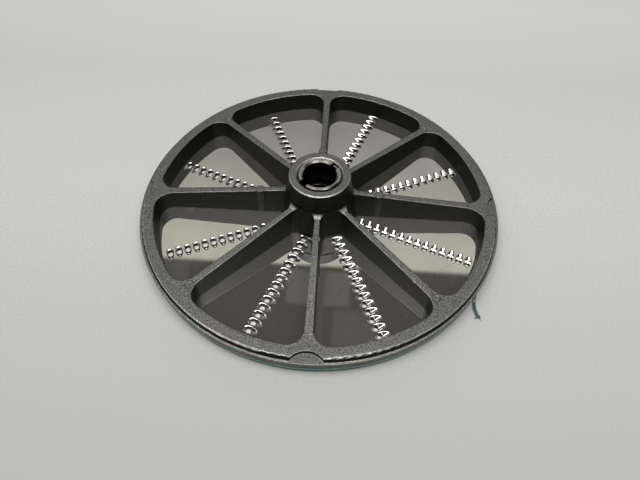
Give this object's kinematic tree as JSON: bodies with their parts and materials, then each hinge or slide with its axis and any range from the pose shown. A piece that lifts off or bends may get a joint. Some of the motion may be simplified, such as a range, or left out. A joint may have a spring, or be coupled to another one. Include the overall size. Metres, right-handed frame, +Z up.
{
  "type": "julienne disc",
  "caption": "Julienne disc of a vegetable cutter, a stainless grater sheet under a spoked cast aluminium frame with a keyed steel hub bush.",
  "frame": {"origin": "on the disc's axis, on the plane that the tooth tips rest on", "axes": "+Z up along the disc's axis, out of the hub's bore; +X and +Y each along a notched spoke"},
  "size_m": [0.2066, 0.2066, 0.0348],
  "materials": {
    "cast_aluminium": "matt, as cast and tumbled",
    "bush_steel": "turned",
    "polished_stainless": "mirror polished sheet",
    "film": "thin film, wrinkled"
  },
  "bodies": {
    "root": {"cast_frame": "cast_aluminium", "hub_bush": "bush_steel", "grater_sheet": "polished_stainless", "edge_film": "film"}
  },
  "joints": []
}
